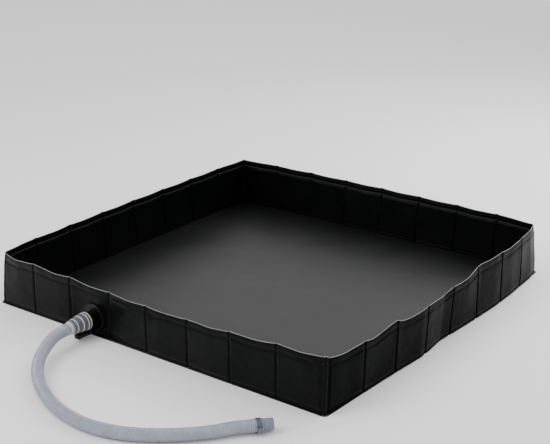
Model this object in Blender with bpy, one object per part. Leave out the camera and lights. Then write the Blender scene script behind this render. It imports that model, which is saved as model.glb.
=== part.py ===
"""Folding waste-water tray with a drain valve and a clear drain hose.

The tray is a square of plastic-coated cloth whose walls stand up on stiffening boards.  The side
walls pleat inward like an accordion, so the back wall travels up to the front wall.  The drain in
the front wall carries a quarter-turn ball valve, and a clear hose leads away from it.

Frame: +Z up, +X along the front wall from left to right, +Y from the front wall to the back wall.
The origin is the middle of the floor's underside.  Lengths are metres.
"""

import math

import bmesh
import bpy
from mathutils import Matrix, Vector

# Overall sizes
TRAY_WIDTH = 1.100           # outside of the left wall to outside of the right wall
TRAY_DEPTH = 1.100           # outside of the front wall to outside of the back wall
WALL_HEIGHT = 0.150          # underside of the floor to the rim
PANELS_PER_WALL = 8
LINKS_PER_SIDE = 4           # folding links in each side wall, two panels in each

# Cloth and boards
SHEET_THICKNESS = 0.0010
BOARD_THICKNESS = 0.0026
FLOOR_THICKNESS = 0.0012
FLOOR_LIP = 0.0040           # welded edge of the floor, outside the walls
FLOOR_CORNER_RADIUS = 0.012
RIM_STRIP_HEIGHT = 0.022     # soft strip above the boards
HEM_HEIGHT = 0.004           # cloth below the boards
SEAM_WIDTH = 0.008           # weld between two boards
BOARD_CORNER_RADIUS = 0.004
WALL_CORNER_ROUND = 0.0040
RIM_ROUND = 0.0015

# Clearances
GAP = 0.0003                 # between two pieces that touch
HINGE_CLEARANCE = 0.0010     # between two walls that fold face to face

# Drain
DRAIN_PANEL = 3              # counted from the left
DRAIN_SHIFT = 0.010          # right of the panel's middle
DRAIN_HEIGHT = 0.047
DRAIN_BORE = 0.013
FLANGE_RADIUS = 0.040
FLANGE_THICKNESS = 0.003
FLANGE_BEAD_RADIUS = 0.0022
FLANGE_BOSS_RADIUS = 0.024
FLANGE_BOSS_LENGTH = 0.006
NECK_RADIUS = 0.017
NECK_BORE_RADIUS = 0.011
GASKET_RADIUS = 0.029
GASKET_THICKNESS = 0.002
BACKNUT_RADIUS = 0.027
BACKNUT_LENGTH = 0.007
BACKNUT_CHAMFER = 0.001
BACKNUT_GRIPS = 8            # hollows round the nut for the fingers
BACKNUT_GRIP_RADIUS = 0.0040
BACKNUT_GRIP_OFFSET = 0.0015 # middle of a hollow, outside the nut
BACKNUT_GRIP_START = 0.3     # first hollow, as a share of the space between two

# Valve
BALL_RADIUS = 0.010
SEAT_THICKNESS = 0.0016
VALVE_END_WALL = 0.0022
VALVE_WALL = 0.0105
VALVE_PLUG_LENGTH = 0.0026
VALVE_SHOULDER = 0.0012      # bevel at the barrel's ends
STEM_RADIUS = 0.0035
STEM_BOSS_RADIUS = 0.0100
STEM_BOSS_DROP = 0.0048      # boss below the barrel
TONGUE_WIDTH = 0.0022
TONGUE_HEIGHT = 0.0022
TONGUE_SHARE = 0.8           # tongue's length as a share of the stem's width
TONGUE_ROOT = 0.001          # tongue's overlap with the stem

# Handle
HANDLE_UNDERSIDE = 0.0080    # above the floor's underside
HANDLE_REACH = 0.048         # stem axis to the tip
HANDLE_ARM_WIDTH = 0.020
HANDLE_ARM_THICKNESS = 0.0100
HANDLE_HUB_RADIUS = 0.0120
HANDLE_RIB_WIDTH = 0.0090
HANDLE_RIB_REACH = 0.027
HANDLE_ROUND = 0.0012
HANDLE_TIP_RADIUS = 0.0050
HANDLE_HUB_STEP = 0.0015     # upper hub, inside the lower one
HANDLE_WEB = 0.0030          # between the screw's head and the stem
HANDLE_RIB_DROP = 0.0005     # rib below the hub's top
HANDLE_RIB_TOE = 0.001       # rib's end above the arm, and beyond its slope
SCREW_RADIUS = 0.0015
SCREW_HEAD_RADIUS = 0.0034
SCREW_HEAD_HEIGHT = 0.0022
SCREW_LENGTH = 0.0085
SCREW_RECESS_RADIUS = 0.0012
SCREW_RECESS_DEPTH = 0.0008

# Hose and its ends
HOSE_RADIUS = 0.0160
TAIL_RADIUS = 0.0115
TAIL_BARB_HEIGHT = 0.0019
TAIL_BARBS = 3
TAIL_LENGTH = 0.045
TAIL_COLLAR_RADIUS = 0.0160
TAIL_COLLAR_LENGTH = 0.0015
TAIL_BORE_RADIUS = 0.0070
TAIL_SPARE_PITCH = 0.5       # plain end of the tail, in barb pitches
BARB_CREST = 0.7             # where a barb starts, as a share of its pitch
BARB_LAND = 0.15             # flat top of a barb
BARB_SLOPE_END = 0.75        # foot of a barb's slope
CUFF_WALL = 0.0070
CUFF_BULGE = 0.0014
CUFF_LENGTH = 0.0640
CUFF_STEP = 0.010            # slope down to the hose
BULGE_CREST = 0.78           # middle of a bulge, as a share of the barb pitch
BULGE_LAND = 0.08
BULGE_FOOT = 0.25
SPIGOT_RADIUS = 0.0145
SPIGOT_BORE_RADIUS = 0.0115
SPIGOT_LENGTH = 0.024
SPIGOT_CHAMFER = 0.0008
CLAMP_BAND_THICKNESS = 0.0010
CLAMP_BAND_WIDTH = 0.0120
CLAMP_GROUND_CLEARANCE = 0.0007
CLAMP_FROM_END = 0.0100      # middle of the band to the end of the hose
CLAMP_HOUSING_LENGTH = 0.0130
CLAMP_HOUSING_HEIGHT = 0.0070
CLAMP_SCREW_RADIUS = 0.0024
CLAMP_SCREW_HEAD_RADIUS = 0.0040
CLAMP_SCREW_HEAD_LENGTH = 0.0045
CLAMP_SLOT_DEPTH = 0.0015
CLAMP_SLOT_WIDTH = 0.0012
CLAMP_TURN = math.radians(-5.0)   # housing below the horizontal, on the side away from the tray

# Positions that follow from the sizes
WALL_THICKNESS = 2 * SHEET_THICKNESS + BOARD_THICKNESS + 2 * GAP
WALL_BASE = FLOOR_THICKNESS + GAP
BOARD_BASE = WALL_BASE + HEM_HEIGHT
BOARD_TOP = WALL_HEIGHT - RIM_STRIP_HEIGHT
HINGE_OFFSET = (WALL_THICKNESS + HINGE_CLEARANCE) / 2
FRONT_FACE = -TRAY_DEPTH / 2
PANEL_PITCH = TRAY_WIDTH / PANELS_PER_WALL
DRAIN_X = -TRAY_WIDTH / 2 + (DRAIN_PANEL - 0.5) * PANEL_PITCH + DRAIN_SHIFT

# Stations along the drain, measured outward from the front wall's outer face
BOSS_END = GAP + FLANGE_BOSS_LENGTH
VALVE_START = BOSS_END + GAP
CAVITY_RADIUS = BALL_RADIUS + GAP
CAVITY_START = VALVE_START + VALVE_END_WALL
SEAT_FACE = math.sqrt(BALL_RADIUS ** 2 - (DRAIN_BORE / 2) ** 2) + GAP
INNER_SEAT_START = CAVITY_START + GAP
VALVE_CENTRE = INNER_SEAT_START + SEAT_THICKNESS + SEAT_FACE
OUTER_SEAT_END = VALVE_CENTRE + SEAT_FACE + SEAT_THICKNESS
PLUG_START = OUTER_SEAT_END + GAP
VALVE_END = PLUG_START + VALVE_PLUG_LENGTH
VALVE_RADIUS = CAVITY_RADIUS + VALVE_WALL
COLLAR_START = VALVE_END + GAP
TAIL_START = COLLAR_START + TAIL_COLLAR_LENGTH
TAIL_END = TAIL_START + TAIL_LENGTH
CUFF_START = TAIL_START + GAP
CUFF_END = CUFF_START + CUFF_LENGTH
CUFF_BORE_RADIUS = TAIL_RADIUS + TAIL_BARB_HEIGHT + GAP
HOSE_START = CUFF_END + GAP
NECK_HOLE_RADIUS = NECK_RADIUS + GAP
STEM_BOSS_BASE = DRAIN_HEIGHT - VALVE_RADIUS - STEM_BOSS_DROP
HANDLE_TOP = STEM_BOSS_BASE - GAP
STEM_BASE = HANDLE_UNDERSIDE + SCREW_HEAD_HEIGHT + HANDLE_WEB
BALL_SLOT_TOP = DRAIN_HEIGHT - BALL_RADIUS + TONGUE_HEIGHT + GAP

# The hose's route, across from the drain, out from the front wall and clear of the ground by this
# much: it leaves the valve, sinks in a wide turn and comes back towards the tray's right corner.
HOSE_ROUTE = [
    (-0.00050, -0.1270, 0.0295),
    (0.00175, -0.1530, 0.0245),
    (0.02175, -0.2020, 0.0165),
    (0.05575, -0.2530, 0.0090),
    (0.10225, -0.2970, 0.0035),
    (0.16185, -0.3350, 0.0010),
    (0.23155, -0.3670, 0.0005),
    (0.30105, -0.3840, 0.0005),
    (0.37075, -0.3860, 0.0005),
    (0.43285, -0.3720, 0.0005),
    (0.48335, -0.3480, 0.0005),
    (0.52845, -0.3170, 0.0005),
    (0.56935, -0.2810, 0.0005),
    (0.60105, -0.2470, 0.0010),
]
HOSE_END = Vector((DRAIN_X + 0.67775, FRONT_FACE - 0.1520,
                   HOSE_RADIUS + GAP + CLAMP_BAND_THICKNESS + CLAMP_GROUND_CLEARANCE))
HOSE_END_DIRECTION = Vector((0.664, 0.748, 0.0)).normalized()
HOSE_STRAIGHT_START = 0.012
HOSE_STRAIGHT_END = 0.030
HOSE_POINT_SPACING = 2.2 * 2 * HOSE_RADIUS

# Finishes: colour, roughness, metallic
CLOTH = ((0.022, 0.024, 0.023, 1.0), 0.42, 0.0)
FLOOR_CLOTH = ((0.045, 0.046, 0.046, 1.0), 0.40, 0.0)
BOARD = ((0.30, 0.31, 0.32, 1.0), 0.60, 0.0)
BLACK_PLASTIC = ((0.010, 0.010, 0.011, 1.0), 0.35, 0.0)
RUBBER = ((0.020, 0.020, 0.020, 1.0), 0.75, 0.0)
WHITE_SEAT = ((0.80, 0.80, 0.78, 1.0), 0.45, 0.0)
BRASS = ((0.66, 0.50, 0.27, 1.0), 0.25, 1.0)
STEEL = ((0.56, 0.57, 0.58, 1.0), 0.28, 1.0)
CLEAR_HOSE = ((0.60, 0.62, 0.68, 1.0), 0.25, 0.0)

DOWN = Vector((0.0, 0.0, -1.0))
OUTWARD = Vector((0.0, -1.0, 0.0))


def clear_scene():
    """Removes every object that is there."""
    for old in list(bpy.data.objects):
        bpy.data.objects.remove(old, do_unlink=True)


def new_material(name, finish):
    """Makes a Principled material with a finish's colour, roughness and metallic value."""
    colour, roughness, metallic = finish
    material = bpy.data.materials.new(name)
    material.use_nodes = True
    shader = material.node_tree.nodes["Principled BSDF"]
    shader.inputs["Base Color"].default_value = colour
    shader.inputs["Roughness"].default_value = roughness
    shader.inputs["Metallic"].default_value = metallic
    return material


def pivot(name, at, parent=None):
    """Makes an empty on a joint's axis, given in world metres."""
    empty = bpy.data.objects.new(name, None)
    empty.empty_display_size = 0.03
    bpy.context.collection.objects.link(empty)
    attach(empty, Vector(at), parent)
    return empty


def attach(thing, at, parent):
    """Puts an object at a world place under a parent that has no rotation."""
    thing.location = at
    if parent is not None:
        thing.parent = parent
        thing.location = at - world_place(parent)


def world_place(thing):
    """Adds up the locations of an unrotated object and its parents."""
    place = Vector(thing.location)
    while thing.parent is not None:
        thing = thing.parent
        place += thing.location
    return place


def add_part(name, shape, finish, parent=None, smooth=False):
    """Turns a bmesh in world metres into a named object under its parent's axis."""
    origin = Vector((0.0, 0.0, 0.0)) if parent is None else world_place(parent)
    bmesh.ops.translate(shape, verts=shape.verts, vec=-origin)
    bmesh.ops.recalc_face_normals(shape, faces=shape.faces)
    mesh = bpy.data.meshes.new(name)
    shape.to_mesh(mesh)
    shape.free()
    if smooth:
        mesh.shade_smooth()
        mesh.set_sharp_from_angle(angle=math.radians(32.0))
    part = bpy.data.objects.new(name, mesh)
    part.data.materials.append(new_material(name + "_finish", finish))
    bpy.context.collection.objects.link(part)
    attach(part, origin, parent)
    return part


def add_tool(name, shape):
    """Turns a bmesh into a cutter or a piece to weld on, which isn't a part itself."""
    bmesh.ops.recalc_face_normals(shape, faces=shape.faces)
    mesh = bpy.data.meshes.new(name)
    shape.to_mesh(mesh)
    shape.free()
    tool = bpy.data.objects.new(name, mesh)
    tool.hide_render = True
    tool.display_type = "WIRE"
    bpy.context.collection.objects.link(tool)
    return tool


def boolean(part, shape, operation):
    """Cuts a shape from a part, or joins it to the part."""
    step = part.modifiers.new(operation.lower() + str(len(part.modifiers)), "BOOLEAN")
    step.operation = operation
    step.solver = "EXACT"
    step.object = add_tool(part.name + "_tool_" + str(len(part.modifiers)), shape)


def cut(part, shape):
    """Cuts a shape from a part."""
    boolean(part, shape, "DIFFERENCE")


def join(part, shape):
    """Joins a shape to a part."""
    boolean(part, shape, "UNION")


def add_box(shape, low, high):
    """Adds a box between two corners to a bmesh and returns its edges."""
    low, high = Vector(low), Vector(high)
    size = Matrix.Diagonal((high - low).to_4d())
    size[3][3] = 1.0
    place = Matrix.Translation((low + high) / 2)
    made = bmesh.ops.create_cube(shape, size=1.0, matrix=place @ size)
    return list({edge for vert in made["verts"] for edge in vert.link_edges})


def round_edges(shape, edges, radius, segments=2):
    """Rounds some edges of a bmesh."""
    bmesh.ops.bevel(shape, geom=edges, offset=radius, segments=segments, profile=0.5,
                    affect="EDGES", clamp_overlap=True)


def edge_runs_along(edge, axis):
    """Tells whether an edge is parallel to one of the axes 0, 1 or 2."""
    run = edge.verts[1].co - edge.verts[0].co
    return abs(run[axis]) > 0.999 * run.length


def edge_middle(edge):
    """Returns the middle of an edge."""
    return (edge.verts[0].co + edge.verts[1].co) / 2


def turned(outline, origin, axis, segments=40, closed=True):
    """Spins an outline of (radius, distance along the axis) points into a round solid.

    A closed outline makes a ring.  An open one starts and ends on the axis.
    """
    shape = bmesh.new()
    verts = [shape.verts.new((radius, 0.0, along)) for radius, along in outline]
    pairs = list(zip(verts, verts[1:]))
    if closed:
        pairs.append((verts[-1], verts[0]))
    edges = [shape.edges.new(pair) for pair in pairs]
    bmesh.ops.spin(shape, geom=verts + edges, cent=(0, 0, 0), axis=(0, 0, 1),
                   angle=2 * math.pi, steps=segments, use_merge=True)
    bmesh.ops.remove_doubles(shape, verts=shape.verts, dist=0.000005)
    if not closed:
        poles = [vert for vert in shape.verts if vert.co.xy.length < GAP / 10]
        bmesh.ops.dissolve_verts(shape, verts=poles)
    turn = Vector((0, 0, 1)).rotation_difference(axis).to_matrix().to_4x4()
    bmesh.ops.transform(shape, verts=shape.verts, matrix=Matrix.Translation(origin) @ turn)
    return shape


def rod(radius, start, end, origin, axis, segments=40):
    """Makes a plain round bar between two distances along an axis."""
    outline = [(0.0, start), (radius, start), (radius, end), (0.0, end)]
    return turned(outline, origin, axis, segments, closed=False)


def ring(inner, outer, start, end, origin, axis, segments=40, chamfer=0.0):
    """Makes a plain ring between two distances along an axis, with its outer edges chamfered."""
    outline = [(inner, start), (outer - chamfer, start)]
    if chamfer > 0.0:
        outline += [(outer, start + chamfer), (outer, end - chamfer)]
        outline += [(outer - chamfer, end)]
    else:
        outline += [(outer, end)]
    outline += [(inner, end)]
    return turned(outline, origin, axis, segments)


def drain_point(distance=0.0):
    """Returns the drain axis's point at a distance outside the front wall's outer face."""
    return Vector((DRAIN_X, FRONT_FACE - distance, DRAIN_HEIGHT))


class Wall:
    """A straight wall: which axis it runs along, where its outer face is and which way is in."""

    def __init__(self, name, run_axis, outer_face, inward):
        self.name = name
        self.run_axis = run_axis
        self.outer_face = outer_face
        self.inward = inward

    def corners(self, start, end, depth_start, depth_end, bottom, top):
        """Returns the low and high corners of a box given along, into and up the wall."""
        across = sorted(self.outer_face + self.inward * depth for depth in (depth_start, depth_end))
        if self.run_axis == 0:
            return (start, across[0], bottom), (end, across[1], top)
        return (across[0], start, bottom), (across[1], end, top)


def board_spans(start, end, panels):
    """Splits a stretch of wall into equal panels and returns each board's two ends."""
    pitch = (end - start) / panels
    return [(start + index * pitch + SEAM_WIDTH / 2, start + (index + 1) * pitch - SEAM_WIDTH / 2)
            for index in range(panels)]


def build_sleeve(name, wall, start, end, panels, parent=None, round_ends=False):
    """Builds the welded double cloth of a stretch of wall, with a pocket for each board."""
    shape = bmesh.new()
    edges = add_box(shape, *wall.corners(start, end, 0.0, WALL_THICKNESS, WALL_BASE, WALL_HEIGHT))
    if round_ends:
        outer = [edge for edge in edges if edge_runs_along(edge, 2)
                 and abs(edge_middle(edge)[1 - wall.run_axis] - wall.outer_face) < GAP]
        round_edges(shape, outer, WALL_CORNER_ROUND, segments=3)
    rim = [edge for edge in shape.edges if edge_runs_along(edge, wall.run_axis)
           and edge_middle(edge).z > WALL_HEIGHT - GAP]
    round_edges(shape, rim, RIM_ROUND)
    sleeve = add_part(name, shape, CLOTH, parent)
    pockets = bmesh.new()
    for board_start, board_end in board_spans(start, end, panels):
        low, high = wall.corners(board_start - GAP, board_end + GAP, SHEET_THICKNESS,
                                 WALL_THICKNESS - SHEET_THICKNESS, 0.0, BOARD_TOP + GAP)
        add_box(pockets, low, high)
    cut(sleeve, pockets)
    return sleeve


def build_boards(prefix, wall, start, end, panels, parent=None):
    """Builds the stiffening boards of a stretch of wall and returns them in order."""
    boards = []
    depth = SHEET_THICKNESS + GAP
    for index, (board_start, board_end) in enumerate(board_spans(start, end, panels)):
        shape = bmesh.new()
        edges = add_box(shape, *wall.corners(board_start, board_end, depth,
                                             depth + BOARD_THICKNESS, BOARD_BASE, BOARD_TOP))
        through = [edge for edge in edges if edge_runs_along(edge, 1 - wall.run_axis)]
        round_edges(shape, through, BOARD_CORNER_RADIUS)
        boards.append(add_part(f"{prefix}_board_{index + 1}", shape, BOARD, parent))
    return boards


def build_floor():
    """Builds the floor sheet, with round corners and a lip outside the walls."""
    shape = bmesh.new()
    half_width = TRAY_WIDTH / 2 + FLOOR_LIP
    half_depth = TRAY_DEPTH / 2 + FLOOR_LIP
    edges = add_box(shape, (-half_width, -half_depth, 0.0),
                    (half_width, half_depth, FLOOR_THICKNESS))
    upright = [edge for edge in edges if edge_runs_along(edge, 2)]
    round_edges(shape, upright, FLOOR_CORNER_RADIUS, segments=4)
    add_part("floor_sheet", shape, FLOOR_CLOTH)


def build_front_wall():
    """Builds the front wall, whose third panel has the drain hole."""
    wall = Wall("front_wall", 0, FRONT_FACE, 1)
    half = TRAY_WIDTH / 2
    sleeve = build_sleeve("front_wall_sleeve", wall, -half, half, PANELS_PER_WALL,
                          round_ends=True)
    boards = build_boards("front_wall", wall, -half, half, PANELS_PER_WALL)
    for part in (sleeve, boards[DRAIN_PANEL - 1]):
        cut(part, rod(NECK_HOLE_RADIUS, -2 * WALL_THICKNESS, WALL_THICKNESS, drain_point(),
                      OUTWARD))


def hinge_line(side, fold_index):
    """Returns the place of a side wall's crease, counted from the front corner.

    The creases take turns on the wall's inner and outer face, so the links fold flat together.
    side is -1 on the left and 1 on the right.
    """
    centre_x = side * (TRAY_WIDTH / 2 - WALL_THICKNESS / 2)
    front_y = FRONT_FACE + WALL_THICKNESS / 2
    link = (TRAY_DEPTH - WALL_THICKNESS) / LINKS_PER_SIDE
    inward = -side if fold_index % 2 == 0 else side
    y = front_y + fold_index * link
    if fold_index == 0:
        y += HINGE_OFFSET
    if fold_index == LINKS_PER_SIDE:
        y -= HINGE_OFFSET
    return Vector((centre_x + inward * HINGE_OFFSET, y, FLOOR_THICKNESS))


def build_side_wall(side_name, side):
    """Builds one side wall as a chain of folding links and returns the last link's pivot."""
    wall = Wall(side_name + "_wall", 1, side * TRAY_WIDTH / 2, -side)
    parent = None
    panels = PANELS_PER_WALL // LINKS_PER_SIDE
    for index in range(LINKS_PER_SIDE):
        prefix = f"{side_name}_link_{index + 1}"
        parent = pivot(prefix + "_pivot", hinge_line(side, index), parent)
        start = hinge_line(side, index).y
        end = hinge_line(side, index + 1).y
        if index > 0:
            start += HINGE_CLEARANCE / 2
        if index < LINKS_PER_SIDE - 1:
            end -= HINGE_CLEARANCE / 2
        build_sleeve(prefix + "_sleeve", wall, start, end, panels, parent)
        build_boards(prefix, wall, start, end, panels, parent)
    return parent


def build_back_wall(last_left_pivot):
    """Builds the back wall, which the left wall's last link carries."""
    wall = Wall("back_wall", 0, TRAY_DEPTH / 2, -1)
    half = TRAY_WIDTH / 2
    parent = pivot("back_wall_pivot", hinge_line(-1, LINKS_PER_SIDE), last_left_pivot)
    build_sleeve("back_wall_sleeve", wall, -half, half, PANELS_PER_WALL, parent, round_ends=True)
    build_boards("back_wall", wall, -half, half, PANELS_PER_WALL, parent)


def build_drain_flange():
    """Builds the flange on the outside of the wall, with the neck that goes through it."""
    bead_start = FLANGE_RADIUS - 2 * FLANGE_BEAD_RADIUS
    plate = GAP + FLANGE_THICKNESS
    neck_end = -(WALL_THICKNESS + 3 * GAP + GASKET_THICKNESS + BACKNUT_LENGTH + 2 * GAP)
    bead = [(bead_start + FLANGE_BEAD_RADIUS * (1 + math.cos(angle)),
             plate + FLANGE_BEAD_RADIUS * math.sin(angle))
            for angle in (math.radians(step * 30.0) for step in range(0, 7))]
    outline = [(NECK_BORE_RADIUS, neck_end), (NECK_RADIUS, neck_end), (NECK_RADIUS, GAP),
               (FLANGE_RADIUS, GAP)]
    outline += bead
    outline += [(FLANGE_BOSS_RADIUS, plate), (FLANGE_BOSS_RADIUS, BOSS_END),
                (NECK_BORE_RADIUS, BOSS_END)]
    add_part("drain_flange", turned(outline, drain_point(), OUTWARD, 48), BLACK_PLASTIC,
             smooth=True)


def build_drain_inside():
    """Builds the gasket and the back nut on the inside of the wall."""
    gasket_start = -(WALL_THICKNESS + GAP)
    gasket_end = gasket_start - GASKET_THICKNESS
    hole = NECK_RADIUS + GAP
    add_part("drain_gasket", ring(hole, GASKET_RADIUS, gasket_end, gasket_start, drain_point(),
                                  OUTWARD, 48), RUBBER, smooth=True)
    nut_start = gasket_end - GAP
    nut = add_part("drain_backnut",
                   ring(hole, BACKNUT_RADIUS, nut_start - BACKNUT_LENGTH, nut_start,
                        drain_point(), OUTWARD, 48, BACKNUT_CHAMFER), BLACK_PLASTIC, smooth=True)
    for index in range(BACKNUT_GRIPS):
        angle = 2 * math.pi * (index + BACKNUT_GRIP_START) / BACKNUT_GRIPS
        towards = Vector((math.cos(angle), 0.0, math.sin(angle)))
        at = towards * (BACKNUT_RADIUS + BACKNUT_GRIP_OFFSET)
        cut(nut, rod(BACKNUT_GRIP_RADIUS, nut_start - 2 * BACKNUT_LENGTH, nut_start + GAP / 2,
                     drain_point() + at, OUTWARD, 16))


def build_valve_body():
    """Builds the valve's barrel with its ball chamber and the boss for the stem."""
    body = add_part("valve_body", barrel_blank(), BLACK_PLASTIC, smooth=True)
    centre = drain_point(VALVE_CENTRE)
    join(body, rod(STEM_BOSS_RADIUS, BALL_RADIUS, VALVE_RADIUS + STEM_BOSS_DROP, centre, DOWN))
    chamber = [(0.0, -GAP), (DRAIN_BORE / 2, -GAP), (DRAIN_BORE / 2, CAVITY_START),
               (CAVITY_RADIUS, CAVITY_START), (CAVITY_RADIUS, VALVE_END + GAP),
               (0.0, VALVE_END + GAP)]
    cut(body, turned(chamber, drain_point(), OUTWARD, 40, closed=False))
    cut(body, rod(STEM_RADIUS + GAP, 0.0, VALVE_RADIUS + 2 * STEM_BOSS_DROP, centre, DOWN, 24))


def barrel_blank():
    """Returns the valve barrel's solid outer shape, before its chamber is cut."""
    outline = [(0.0, VALVE_START), (VALVE_RADIUS - VALVE_SHOULDER, VALVE_START),
               (VALVE_RADIUS, VALVE_START + VALVE_SHOULDER), (VALVE_RADIUS, VALVE_END - VALVE_SHOULDER),
               (VALVE_RADIUS - VALVE_SHOULDER, VALVE_END), (0.0, VALVE_END)]
    return turned(outline, drain_point(), OUTWARD, 48, closed=False)


def build_seats():
    """Builds the two rings that the ball turns between."""
    starts = {"valve_seat_inner": INNER_SEAT_START,
              "valve_seat_outer": OUTER_SEAT_END - SEAT_THICKNESS}
    for name, start in starts.items():
        add_part(name, ring(DRAIN_BORE / 2, CAVITY_RADIUS - GAP, start, start + SEAT_THICKNESS,
                            drain_point(), OUTWARD), WHITE_SEAT, smooth=True)


def build_ball(parent):
    """Builds the ball, whose bore lies along the drain while the valve is open."""
    half_angle = math.acos(DRAIN_BORE / 2 / BALL_RADIUS)
    steps = 12
    outline = []
    for index in range(steps + 1):
        angle = -half_angle + 2 * half_angle * index / steps
        outline.append((BALL_RADIUS * math.cos(angle), BALL_RADIUS * math.sin(angle)))
    centre = drain_point(VALVE_CENTRE)
    ball = add_part("valve_ball", turned(outline, centre, OUTWARD, 32), BRASS, parent, smooth=True)
    slot = bmesh.new()
    add_box(slot, centre + Vector((-TONGUE_WIDTH / 2 - GAP, -BALL_RADIUS, -2 * BALL_RADIUS)),
            Vector((centre.x + TONGUE_WIDTH / 2 + GAP, centre.y + BALL_RADIUS, BALL_SLOT_TOP)))
    cut(ball, slot)


def build_stem(parent):
    """Builds the stem: a round bar with a tongue in the ball's slot and a screw hole below."""
    axis_point = Vector((DRAIN_X, FRONT_FACE - VALVE_CENTRE, 0.0))
    top = DRAIN_HEIGHT - BALL_RADIUS - GAP
    hole_top = HANDLE_UNDERSIDE + SCREW_LENGTH + 2 * GAP
    outline = [(SCREW_RADIUS + GAP, STEM_BASE), (STEM_RADIUS, STEM_BASE), (STEM_RADIUS, top),
               (0.0, top)]
    outline = [(0.0, hole_top), (SCREW_RADIUS + GAP, hole_top)] + outline
    stem = add_part("valve_stem", turned(outline, axis_point, -DOWN, 24, closed=False), BRASS,
                    parent, smooth=True)
    tongue = bmesh.new()
    half_length = STEM_RADIUS * TONGUE_SHARE
    add_box(tongue, axis_point + Vector((-TONGUE_WIDTH / 2, -half_length, top - TONGUE_ROOT)),
            axis_point + Vector((TONGUE_WIDTH / 2, half_length,
                                 DRAIN_HEIGHT - BALL_RADIUS + TONGUE_HEIGHT - GAP)))
    join(stem, tongue)


def handle_outline():
    """Returns the handle's outline seen from above, about the stem axis, arm towards -Y."""
    half = HANDLE_ARM_WIDTH / 2
    meet = math.asin(half / HANDLE_HUB_RADIUS)
    steps = 16
    points = []
    for index in range(steps + 1):
        angle = -math.pi / 2 + meet + (2 * math.pi - 2 * meet) * index / steps
        points.append((HANDLE_HUB_RADIUS * math.cos(angle), HANDLE_HUB_RADIUS * math.sin(angle)))
    tip = -(HANDLE_REACH - HANDLE_TIP_RADIUS)
    for side in (-1, 1):
        centre_x = side * (half - HANDLE_TIP_RADIUS)
        for index in range(5):
            turn = math.radians(22.5 * index)
            swing = turn if side < 0 else math.pi / 2 - turn
            points.append((centre_x + side * HANDLE_TIP_RADIUS * math.cos(swing),
                           tip - HANDLE_TIP_RADIUS * math.sin(swing)))
    return points


def build_handle(parent):
    """Builds the valve's handle: a hub on the stem and a flat arm with a rib on top."""
    axis_point = Vector((DRAIN_X, FRONT_FACE - VALVE_CENTRE, 0.0))
    shape = bmesh.new()
    verts = [shape.verts.new((x, y, HANDLE_UNDERSIDE)) for x, y in handle_outline()]
    face = shape.faces.new(verts)
    lifted = bmesh.ops.extrude_face_region(shape, geom=[face])["geom"]
    bmesh.ops.translate(shape, verts=[item for item in lifted if isinstance(item, bmesh.types.BMVert)],
                        vec=(0, 0, HANDLE_ARM_THICKNESS))
    flat = [edge for edge in shape.edges if abs(edge.verts[0].co.z - edge.verts[1].co.z) < GAP]
    round_edges(shape, flat, HANDLE_ROUND, segments=1)
    bmesh.ops.translate(shape, verts=shape.verts, vec=axis_point)
    handle = add_part("valve_handle", shape, BLACK_PLASTIC, parent, smooth=True)
    join(handle, rod(HANDLE_HUB_RADIUS - HANDLE_HUB_STEP, HANDLE_UNDERSIDE + HANDLE_ARM_THICKNESS / 2,
                     HANDLE_TOP, axis_point, -DOWN, 32))
    join(handle, handle_rib(axis_point))
    cut(handle, rod(STEM_RADIUS + GAP, STEM_BASE - GAP, HANDLE_TOP + HANDLE_HUB_RADIUS,
                    axis_point, -DOWN, 24))
    screw_hole = [(0.0, 0.0), (SCREW_HEAD_RADIUS + GAP, 0.0),
                  (SCREW_HEAD_RADIUS + GAP, HANDLE_UNDERSIDE + SCREW_HEAD_HEIGHT + GAP),
                  (SCREW_RADIUS + GAP, HANDLE_UNDERSIDE + SCREW_HEAD_HEIGHT + GAP),
                  (SCREW_RADIUS + GAP, STEM_BASE + GAP), (0.0, STEM_BASE + GAP)]
    cut(handle, turned(screw_hole, axis_point, -DOWN, 24, closed=False))


def handle_rib(axis_point):
    """Returns the rib on the handle's arm, which slopes down from the hub towards the tip."""
    shape = bmesh.new()
    half = HANDLE_RIB_WIDTH / 2
    foot = HANDLE_UNDERSIDE + HANDLE_ARM_THICKNESS / 2
    inner = -(STEM_RADIUS + 2 * GAP)
    ridge = HANDLE_TOP - HANDLE_RIB_DROP
    side = [(inner, foot), (inner, ridge), (-HANDLE_HUB_RADIUS, ridge),
            (-HANDLE_RIB_REACH, foot + HANDLE_ARM_THICKNESS / 2 + HANDLE_RIB_TOE),
            (-HANDLE_RIB_REACH - HANDLE_RIB_TOE, foot)]
    verts = [shape.verts.new(axis_point + Vector((-half, y, z))) for y, z in side]
    face = shape.faces.new(verts)
    lifted = bmesh.ops.extrude_face_region(shape, geom=[face])["geom"]
    moved = [item for item in lifted if isinstance(item, bmesh.types.BMVert)]
    bmesh.ops.translate(shape, verts=moved, vec=(HANDLE_RIB_WIDTH, 0, 0))
    return shape


def build_handle_screw(parent):
    """Builds the screw that holds the handle on the stem."""
    axis_point = Vector((DRAIN_X, FRONT_FACE - VALVE_CENTRE, 0.0))
    base = HANDLE_UNDERSIDE
    recess = base + SCREW_RECESS_DEPTH
    outline = [(0.0, recess), (SCREW_RECESS_RADIUS, recess), (SCREW_RECESS_RADIUS, base),
               (SCREW_HEAD_RADIUS, base), (SCREW_HEAD_RADIUS, base + SCREW_HEAD_HEIGHT),
               (SCREW_RADIUS, base + SCREW_HEAD_HEIGHT), (SCREW_RADIUS, base + SCREW_LENGTH),
               (0.0, base + SCREW_LENGTH)]
    add_part("handle_screw", turned(outline, axis_point, -DOWN, 24, closed=False), STEEL, parent,
             smooth=True)


def build_valve():
    """Builds the valve and everything that turns with its handle."""
    build_valve_body()
    build_seats()
    turn = pivot("valve_handle_pivot", (DRAIN_X, FRONT_FACE - VALVE_CENTRE, HANDLE_UNDERSIDE))
    build_ball(turn)
    build_stem(turn)
    build_handle(turn)
    build_handle_screw(turn)


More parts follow.
